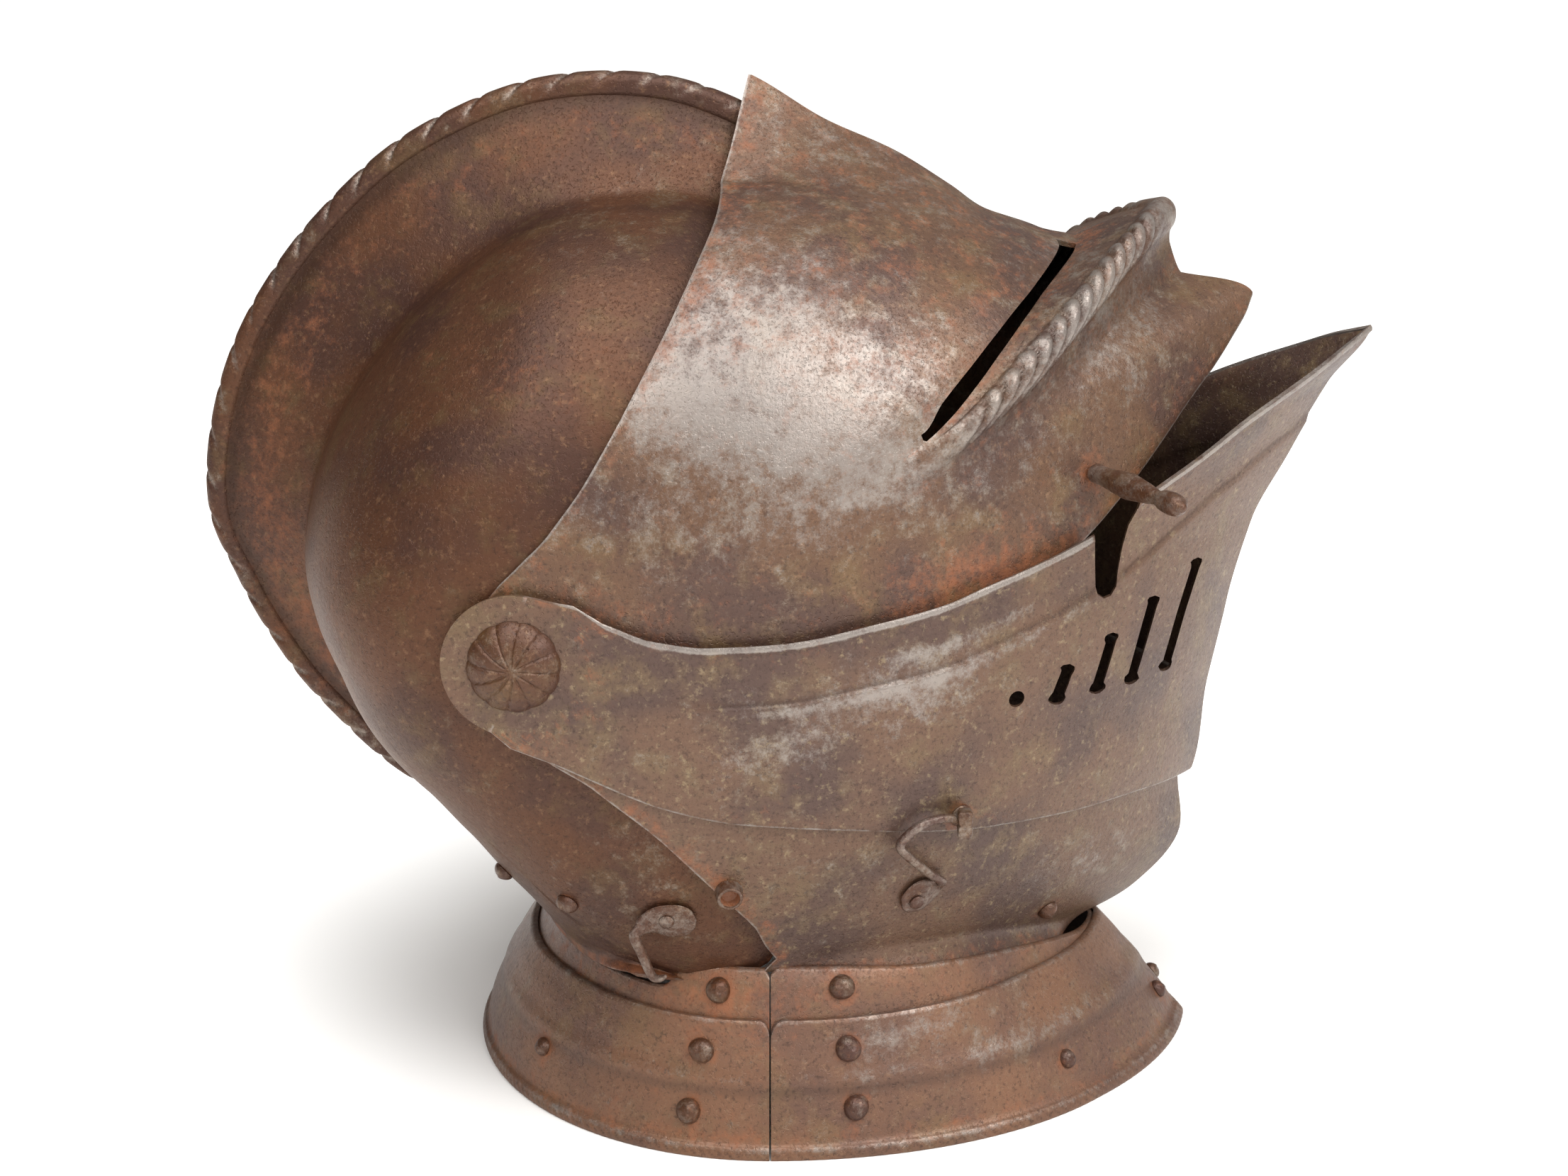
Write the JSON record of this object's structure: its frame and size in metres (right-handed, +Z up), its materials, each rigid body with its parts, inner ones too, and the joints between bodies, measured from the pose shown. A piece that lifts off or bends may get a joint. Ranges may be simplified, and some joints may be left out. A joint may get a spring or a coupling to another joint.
{
  "type": "close helmet",
  "caption": "Steel close helmet with a high roped comb, a pivoted visor with a slanted sight, two bevor plates held by hooks, and a flared riveted gorget.",
  "frame": {"origin": "centre of the bounding box's footprint, on the level of the gorget's lower rim", "axes": "+X forward, the way the visor points; +Y to the wearer's left; +Z up"},
  "size_m": [0.3672, 0.2192, 0.3132],
  "materials": {
    "skull_steel": "rust-brown patinated steel",
    "visor_steel": "rust-brown patinated steel, rubbed bright in patches",
    "bevor_steel": "rust-brown patinated steel",
    "gorget_steel": "rust-brown patinated steel with a worn rim",
    "rosette_steel": "rust-brown patinated steel",
    "worn_steel": "handled steel, brighter on its edges",
    "rivet_steel": "rust-brown patinated steel"
  },
  "bodies": {
    "skull": {"skull": "skull_steel", "rear_lower_lame": "gorget_steel", "rear_middle_rivet_left": "rivet_steel", "rear_middle_rivet_right": "rivet_steel", "rear_rim_rivet_left": "rivet_steel", "rear_rim_rivet_right": "rivet_steel", "rear_strap_rivet_left": "rivet_steel", "rear_strap_rivet_right": "rivet_steel", "rear_upper_lame": "gorget_steel", "rear_upper_rivet_left": "rivet_steel", "rear_upper_rivet_right": "rivet_steel", "rosette_rivet_right": "rosette_steel", "rosette_rivet_left": "rosette_steel", "lining_rivet_right": "rivet_steel", "lining_rivet_left": "rivet_steel", "nape_rivet_right": "rivet_steel", "nape_rivet_left": "rivet_steel", "skull_hook_rivet": "rivet_steel"},
    "lower_bevor": {"lower_bevor": "bevor_steel", "front_lower_lame": "gorget_steel", "front_middle_rivet_left": "rivet_steel", "front_middle_rivet_right": "rivet_steel", "front_prow_rivet_left": "rivet_steel", "front_prow_rivet_right": "rivet_steel", "front_rim_rivet_left": "rivet_steel", "front_rim_rivet_right": "rivet_steel", "front_strap_rivet_left": "rivet_steel", "front_strap_rivet_right": "rivet_steel", "front_upper_lame": "gorget_steel", "front_upper_rivet_left": "rivet_steel", "front_upper_rivet_right": "rivet_steel", "bevor_rivet_right": "rivet_steel", "bevor_rivet_left": "rivet_steel", "skull_stud": "worn_steel", "bevor_hook_rivet": "rivet_steel"},
    "upper_bevor": {"upper_bevor": "bevor_steel", "bevor_stud": "worn_steel"},
    "visor": {"visor": "visor_steel", "lifting_peg": "worn_steel"},
    "skull_hook": {"skull_hook": "worn_steel"},
    "bevor_hook": {"bevor_hook": "worn_steel"}
  },
  "joints": [
    {"name": "lower_bevor_pivot", "type": "hinge", "parent": "skull", "child": "lower_bevor", "pos_m": [-0.07518, 0, 0.157], "axis": [0, -1, 0], "range_deg": [0, 60]},
    {"name": "upper_bevor_pivot", "type": "hinge", "parent": "lower_bevor", "child": "upper_bevor", "pos_m": [-0.07518, 0, 0.157], "axis": [0, -1, 0], "range_deg": [0, 35]},
    {"name": "visor_pivot", "type": "hinge", "parent": "upper_bevor", "child": "visor", "pos_m": [-0.07518, 0, 0.157], "axis": [0, -1, 0], "range_deg": [-8, 45]},
    {"name": "skull_hook_pivot", "type": "hinge", "parent": "skull", "child": "skull_hook", "pos_m": [-0.03448, -0.08874, 0.0748], "axis": [-0.0016, -0.95, -0.3122], "range_deg": [0, 45]},
    {"name": "bevor_hook_pivot", "type": "hinge", "parent": "lower_bevor", "child": "bevor_hook", "pos_m": [0.03882, -0.07649, 0.0756], "axis": [0.3785, -0.8718, -0.3109], "range_deg": [0, 60]}
  ]
}
